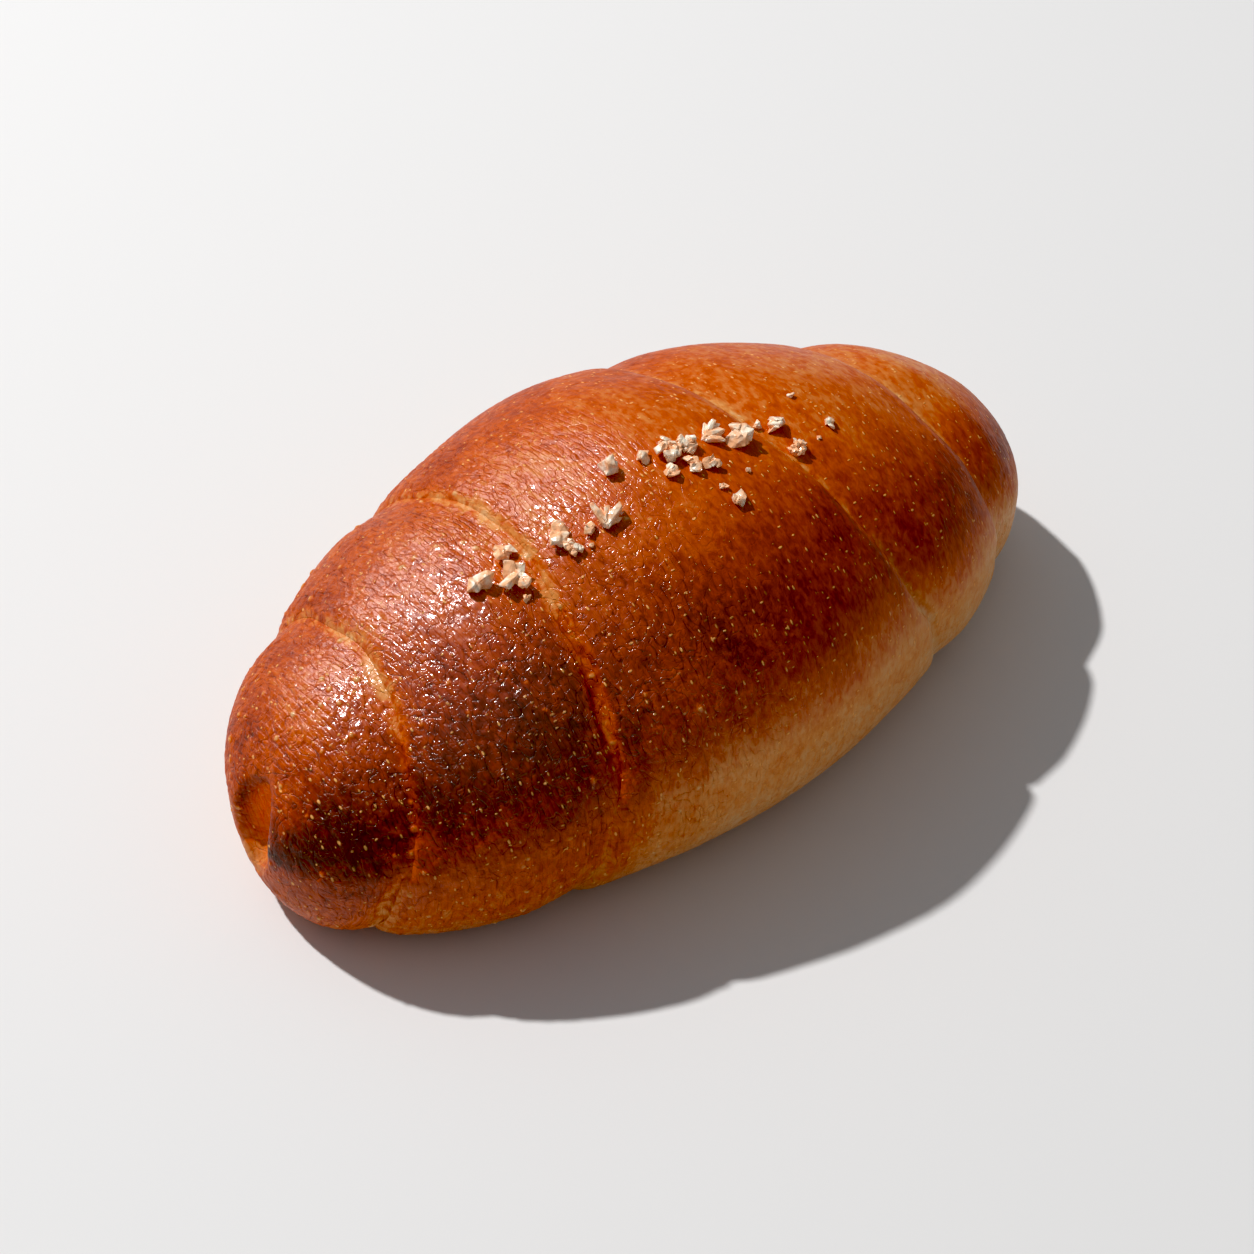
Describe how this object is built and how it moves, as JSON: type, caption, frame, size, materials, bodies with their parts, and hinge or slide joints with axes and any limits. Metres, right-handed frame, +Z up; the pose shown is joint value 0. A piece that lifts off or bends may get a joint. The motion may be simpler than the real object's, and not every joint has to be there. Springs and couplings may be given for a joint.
{
  "type": "salt bread roll",
  "caption": "Rolled-up bread roll with overlapping bands, blunt hollow ends, a flat base, and coarse salt along its ridge.",
  "frame": {"origin": "middle of the roll's box on the surface it lies on", "axes": "+X along the roll, away from the end with the wide hollow; +Z up"},
  "size_m": [0.1298, 0.0712, 0.0526],
  "materials": {
    "baked_crust": "glossy egg-washed crust"
  },
  "bodies": {
    "root": {"salt_bread_roll": "baked_crust"}
  },
  "joints": []
}
